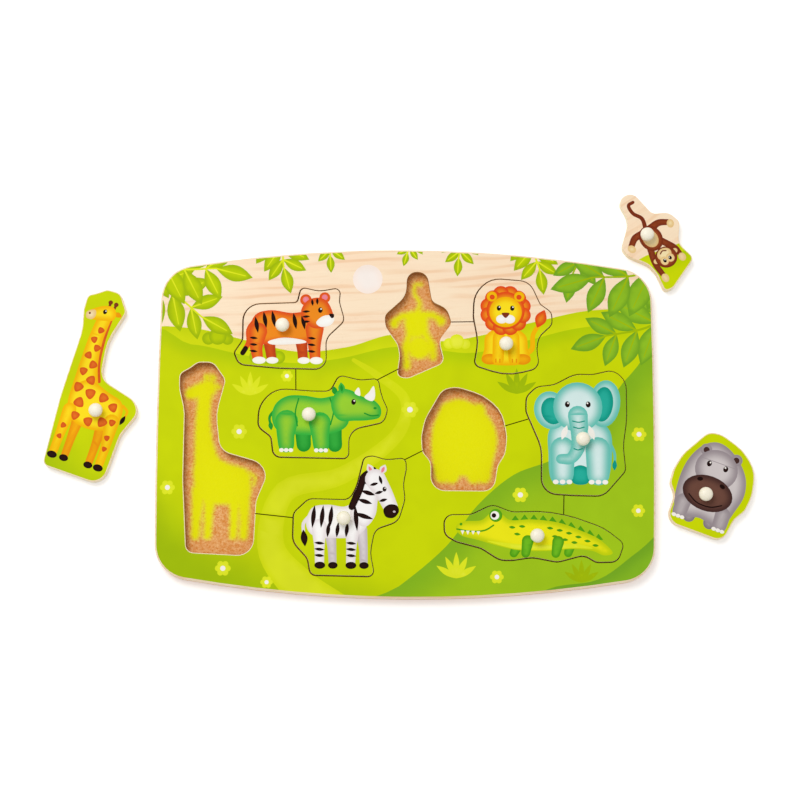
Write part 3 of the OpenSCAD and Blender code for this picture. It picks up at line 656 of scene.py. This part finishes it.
# Print meshes
def top_loops(node, depth):
    """Outlines, with heights, of a CAD node's faces that reach no deeper than this below its top."""
    mesh = nodes[node].data
    mesh.calc_loop_triangles()
    points = np.array([v.co for v in mesh.vertices]) / MM
    top = points[:, 2].max()
    keys = [tuple(k) for k in np.round(points * 1000).astype(int).tolist()]
    way = {}
    for t in mesh.loop_triangles:
        if all(top - points[v][2] < depth for v in t.vertices):
            ring = [keys[v] for v in t.vertices]
            for a, b in zip(ring, ring[1:] + ring[:1]):
                if way.get(b) and a in way[b]:
                    way[b].remove(a)
                else:
                    way.setdefault(a, []).append(b)
    way = {a: b for a, b in way.items() if b}
    loops = []
    while way:
        start = here = next(iter(way))
        loop = []
        while here in way:
            loop.append(here)
            step = way[here].pop()
            if not way[here]:
                del way[here]
            here = step
            if here == start:
                break
        loops.append(np.array(loop) / 1000)
    return loops


def inside(points, outline):
    """Which of the points lie in an outline."""
    held = np.zeros(len(points), bool)
    near = np.flatnonzero(((points > outline.min(0)) & (points < outline.max(0))).all(1))
    x, y = points[near].T
    turns = np.zeros(len(near), int)
    for (x0, y0), (x1, y1) in zip(outline, np.roll(outline, -1, 0)):
        if y0 != y1:
            left = x < x0 + (x1 - x0) * (y - y0) / (y1 - y0)
            turns += ((y0 <= y) & (y < y1) & left).astype(int) - ((y1 <= y) & (y < y0) & left).astype(int)
    held[near] = turns != 0
    return held


def distance(points, outline):
    """How far each point is from an outline."""
    a, b = outline, np.roll(outline, -1, 0)
    d = b - a
    share = ((points[:, None] - a) * d).sum(2) / np.maximum((d * d).sum(1), 1e-12)
    near = a + np.clip(share, 0, 1)[:, :, None] * d
    return np.sqrt(((points[:, None] - near) ** 2).sum(2).min(1))


def mesh_points(outlines, pitch):
    """A triangle net that follows all the outlines, with extra points about a pitch apart."""
    low, high = np.min([o.min(0) for o in outlines], 0), np.max([o.max(0) for o in outlines], 0)
    rows = np.arange(low[1], high[1], pitch * 0.866)
    columns = np.arange(low[0], high[0], pitch)
    extra = [(x + (i % 2) * pitch / 2, y) for i, y in enumerate(rows) for x in columns]
    verts, edges = [], []
    for o in outlines:
        first = len(verts)
        verts += [Vector(p) for p in o]
        edges += [(first + i, first + (i + 1) % len(o)) for i in range(len(o))]
    verts += [Vector(p) for p in extra]
    made = delaunay_2d_cdt(verts, edges, [], 0, 1e-4)
    return np.array([(p.x, p.y) for p in made[0]]), np.array([f for f in made[2] if len(f) == 3])


def film(name, points, heights, tris, shade, layer, key):
    """A closed film of ink on the triangles; shade has a number for each of their corners."""
    used = np.unique(tris)
    index = np.full(len(points), -1)
    index[used] = np.arange(len(used))
    tris, n = index[tris], len(used)
    sides = np.concatenate([tris[:, [0, 1]], tris[:, [1, 2]], tris[:, [2, 0]]])
    shades = np.concatenate([shade[:, [0, 1]], shade[:, [1, 2]], shade[:, [2, 0]]])
    layers = np.concatenate([layer] * 3)
    known = {(a, b) for a, b in sides.tolist()}
    rim = [i for i, (a, b) in enumerate(sides.tolist()) if (b, a) not in known]
    face = np.column_stack([points[used], heights[used]])
    verts = np.vstack([face + (0, 0, INK_RISE), face - (0, 0, INK_BITE)]) * MM
    walls = [(b, a, a + n, b + n) for a, b in sides[rim].tolist()]
    faces = tris.tolist() + (tris[:, ::-1] + n).tolist() + walls
    mesh = bpy.data.meshes.new(name)
    mesh.from_pydata(verts.tolist(), [], faces)
    slots = np.concatenate([layer, layer, layers[rim]]).astype(np.int32)
    mesh.polygons.foreach_set("material_index", slots)
    values = np.concatenate([shade.ravel(), shade[:, ::-1].ravel(), shades[rim][:, [1, 0, 0, 1]].ravel()])
    mesh.attributes.new(key, "FLOAT", "CORNER").data.foreach_set("value", values.astype(np.float32))
    piece = bpy.data.objects.new(name, mesh)
    bpy.context.scene.collection.objects.link(piece)
    return piece


def peg_place(animal):
    """Where an animal's peg stands."""
    low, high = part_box(animal + "_peg")
    return (low.x + high.x) / 2 / MM, (low.y + high.y) / 2 / MM


def turned(offsets, degrees):
    c, s = math.cos(math.radians(degrees)), math.sin(math.radians(degrees))
    return np.column_stack([c * offsets[:, 0] - s * offsets[:, 1], s * offsets[:, 0] + c * offsets[:, 1]])


def drawn_in(outline, by):
    """A top face's outline moved in over the face, which lies on its left."""
    ahead = np.roll(outline, -1, 0) - np.roll(outline, 1, 0)
    ahead /= np.linalg.norm(ahead, axis=1)[:, None]
    return outline + np.column_stack([-ahead[:, 1], ahead[:, 0]]) * np.reshape(by, (-1, 1))


def eased(points, flat, edge):
    """Heights of points on a top face that falls evenly from its flat outlines to its eased edge."""
    top = flat[0][0, 2]
    low = np.vstack([o[o[:, 2] < top - FLAT] for o in edge])
    heights = np.full(len(points), top)
    if len(low):
        level = np.zeros(len(points), bool)
        for o in flat:
            level ^= inside(points, o[:, :2])
        width = np.min([distance(low[:, :2], o[:, :2]) for o in flat], 0)
        slope = np.median((top - low[:, 2]) / width)
        out = np.min([distance(points[~level], o[:, :2]) for o in flat], 0)
        heights[~level] -= np.minimum(out * slope, top - low[:, 2].min())
    return heights


def print_on(node, name, shapes, pitch, bare, bare_highlight_areas):
    """Prints the shapes on a node's top face and over its eased edge. Inside the given areas the edge
    stays bare, a band that is partly worn ink and partly painted highlight, and the bare outlines are
    left unprinted."""
    flat, edge = top_loops(node, FLAT), top_loops(node, INKED_EASE)
    loops = [o[:, :2] for o in edge]
    # Inside these areas the ink stops short of the edge: bare wood as worn ink and painted highlight
    for area in bare_highlight_areas:
        near = [inside(o, area) for o in loops]
        near = [m & np.roll(m, 1) & np.roll(m, -1) for m in near]
        loops = [drawn_in(o, BARE_HIGHLIGHT_RIM * m) for o, m in zip(loops, near)]
    low, high = np.min([o.min(0) for o in loops], 0), np.max([o.max(0) for o in loops], 0)
    shapes = [(ink, o) for ink, o in shapes if (o.max(0) > low).all() and (o.min(0) < high).all()]
    points, tris = mesh_points(loops + [o[:, :2] for o in flat] + bare + [o for _, o in shapes], pitch)
    middle = points[tris].mean(1)
    held = np.zeros(len(tris), bool)
    for o in loops:
        held ^= inside(middle, o)
    for o in bare:
        held &= ~inside(middle, o)
    top_shape = np.full(len(tris), -1)
    for i, (_, o) in enumerate(shapes):
        top_shape[inside(middle, o)] = i
    keep = held & (top_shape >= 0)
    tris, top_shape = tris[keep], top_shape[keep]
    inks = sorted({shapes[i][0] for i in set(top_shape.tolist())})
    shade, layer = np.zeros(tris.shape), np.zeros(len(tris), int)
    for i in set(top_shape.tolist()):
        ink, outline = shapes[i]
        mine = top_shape == i
        spread, back = np.unique(tris[mine], return_inverse=True)
        reach = np.clip(distance(points[spread], outline) / INKS[ink][2], 0, 1)
        shade[mine] = reach[back].reshape(-1, 3)
        layer[mine] = inks.index(ink)
    piece = film(name, points, eased(points, flat, edge), tris, shade, layer, "inner")
    for ink in inks:
        piece.data.materials.append(ink_materials[ink])
    return piece


# Finishes of the CAD pieces
ink_materials = {name: screen_ink(name, middle, rim) for name, (middle, rim, _) in INKS.items()}
# Edge colours of the plywood, paler than its top face: sanded wood, and partly painted light on the
# upright walls
SANDED_AND_LIT_EDGE = ("#FFF4D2", "#F9E6B8")
wood = basswood_ply("basswood_ply", 0, SHEET_BASE, *SANDED_AND_LIT_EDGE)
# A darker brown copy of the plywood: painted shade for the walls of the pockets
shade_darkened_wood = basswood_ply("basswood_ply_painted_shade", 0, SHEET_BASE, "#B6824C", "#A26C3C")
loose_wood = {a: basswood_ply("basswood_ply_" + a, SEATS[a][2], 0, *SANDED_AND_LIT_EDGE) for a in LOOSE}
hardboard = fibreboard()
birch = turned_birch()

for name, node in nodes.items():
    animal = name.split("_")[0]
    finish = wood
    if name == "backing_panel":
        finish = hardboard
    elif name.endswith("_peg"):
        finish = birch
    elif animal in LOOSE:
        finish = loose_wood[animal]
    node.data.materials.clear()
    node.data.materials.append(finish)
    node.data.polygons.foreach_set("use_smooth", np.ones(len(node.data.polygons), bool))
    weld = node.modifiers.new("weld", "WELD")
    weld.merge_threshold = 0.002 * MM
    split = node.modifiers.new("split", "EDGE_SPLIT")
    split.split_angle = math.radians(50)
    if not name.endswith("_peg"):
        node.modifiers.new("weighted", "WEIGHTED_NORMAL")

# Painted shade: the pocket walls get darker brown wood, deepening the saw lines; the outer edge stays
# pale
sheet = nodes["top_frame"].data
sheet.materials.append(shade_darkened_wood)
outline = max((o[:, :2] for o in top_loops("top_frame", FLAT)), key=np.ptp)
middles = np.array([p.center[:2] for p in sheet.polygons]) / MM
painted_shade_faces = inside(middles, drawn_in(outline, OUTER_BAND))
sheet.polygons.foreach_set("material_index", painted_shade_faces.astype(np.int32))

# Prints. The drawing stretches with the board, as the pegs of the seated pieces show.
seated = [a for a in SEATS if a not in LOOSE]
fits = [np.polyfit([SEATS[a][axis] for a in seated], [peg_place(a)[axis] for a in seated], 1)
        for axis in (0, 1)]
stretch, shift = np.transpose(fits)
rims = {}
for animal, (x, y, turn) in SEATS.items():
    outer = max((o[:, :2] for o in top_loops(animal + "_piece", FLAT)), key=np.ptp)
    rims[animal] = turned(outer - peg_place(animal), -turn) + (x, y) * stretch + shift


def inset(animal):
    """An animal's shapes, drawn in about the middle of its piece and moved clear of the saw line."""
    middle = ((rims[animal].min(0) + rims[animal].max(0)) / 2 - shift) / stretch
    start = middle * (1 - INSET) + np.array(NUDGES.get(animal, (0, 0)))
    return [(ink, start + o * INSET) for ink, o in ANIMALS[animal]]


fields = [(ink, o * stretch + shift) for ink, o in BOARD]
# Round the loose pieces' pockets the board's edge stays bare: worn ink and painted highlight
pockets = [drawn_in(rims[animal], -POCKET_GAP) for animal in LOOSE]
board_print = print_on("top_frame", "board_print", fields, BOARD_PITCH, [], pockets)
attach(board_print, "board")
for animal, (x, y, turn) in SEATS.items():
    place = peg_place(animal)
    drawing = [(ink, turned((o - (x, y)) * stretch, turn) + place) for ink, o in BOARD + inset(animal)]
    under_peg = [oval(*place, PEG_CLEAR)]
    # A loose piece keeps a bare rim all round: worn ink and painted highlight
    bare_highlight_areas = [oval(*place, REACH_ALL)] if animal in LOOSE else []
    piece = print_on(animal + "_piece", animal + "_print", drawing, PIECE_PITCH, under_peg, bare_highlight_areas)
    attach(piece, animal)

# Soft print of the animal on the floor of its pocket
pocket_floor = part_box("backing_panel")[1].z / MM
for animal, rim in rims.items():
    points, tris = mesh_points([rim], FLOOR_PITCH)
    tris = tris[inside(points[tris].mean(1), rim)]
    shapes = [o * stretch + shift for ink, o in inset(animal) if ink in WASHED]
    depths = [np.where(inside(points, o), 1, -1) * distance(points, o) for o in shapes]
    deep = np.log(np.exp(np.clip(depths, -20, 20)).sum(0))
    wash = np.clip(0.5 + deep / (2 * WASH_SOFT), 0, 1)
    level = np.full(len(points), pocket_floor)
    one_ink = np.zeros(len(tris), int)
    piece = film(animal + "_floor_wash", points, level, tris, wash[tris], one_ink, "wash")
    piece.data.materials.append(hardboard)
    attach(piece, "board")

# Floor, light and camera
scene = bpy.context.scene
scene.view_settings.view_transform = "Standard"

paper, shader = new_material("white_paper")
shader.inputs["Base Color"].default_value = linear("#F8F5F4")
shader.inputs["Roughness"].default_value = 0.9
seen = add(paper, "ShaderNodeLightPath")
looked = add(paper, "ShaderNodeMath", {
    0: seen.outputs["Is Camera Ray"], 1: seen.outputs["Is Glossy Ray"]}, operation="MAXIMUM")
share = add(paper, "ShaderNodeMath", {
    0: looked.outputs[0], 1: seen.outputs["Is Transmission Ray"]}, operation="MAXIMUM")
part = add(paper, "ShaderNodeMath", {0: share.outputs[0], 1: FLOOR_GLOW}, operation="MULTIPLY")
glow = add(paper, "ShaderNodeEmission", {"Color": (1, 1, 1, 1), "Strength": part.outputs[0]})
lit = add(paper, "ShaderNodeAddShader", {0: shader.outputs[0], 1: glow.outputs[0]})
paper.node_tree.links.new(lit.outputs[0], paper.node_tree.nodes["Material Output"].inputs["Surface"])
floor_mesh = bpy.data.meshes.new("floor")
floor_mesh.from_pydata([(-4, -4, 0), (4, -4, 0), (4, 4, 0), (-4, 4, 0)], [], [(0, 1, 2, 3)])
floor_mesh.materials.append(paper)
floor = bpy.data.objects.new("floor", floor_mesh)
scene.collection.objects.link(floor)

world = bpy.data.worlds.new("studio")
world.use_nodes = True
scene.world = world
sky = world.node_tree.nodes["Background"]
sky.inputs["Color"].default_value = (1, 1, 1, 1)
sky.inputs["Strength"].default_value = SKY_STRENGTH

softbox = bpy.data.lights.new("key", "AREA")
softbox.shape = "DISK"
softbox.size = KEY_SIZE
softbox.energy = KEY_WATTS
key = bpy.data.objects.new("key", softbox)
key.location = KEY_PLACE
key.rotation_euler = (-Vector(KEY_PLACE)).to_track_quat("-Z", "Y").to_euler()
scene.collection.objects.link(key)

back = Vector((math.sin(AZIMUTH) * math.cos(ELEVATION), -math.cos(AZIMUTH) * math.cos(ELEVATION),
               math.sin(ELEVATION)))
camera = bpy.data.objects.new("camera", bpy.data.cameras.new("camera"))
camera.data.sensor_width = 36
camera.data.lens = LENS
camera.location = TARGET + back * DISTANCE
camera.rotation_euler = (-back).to_track_quat("-Z", "Y").to_euler()
scene.collection.objects.link(camera)
scene.camera = camera
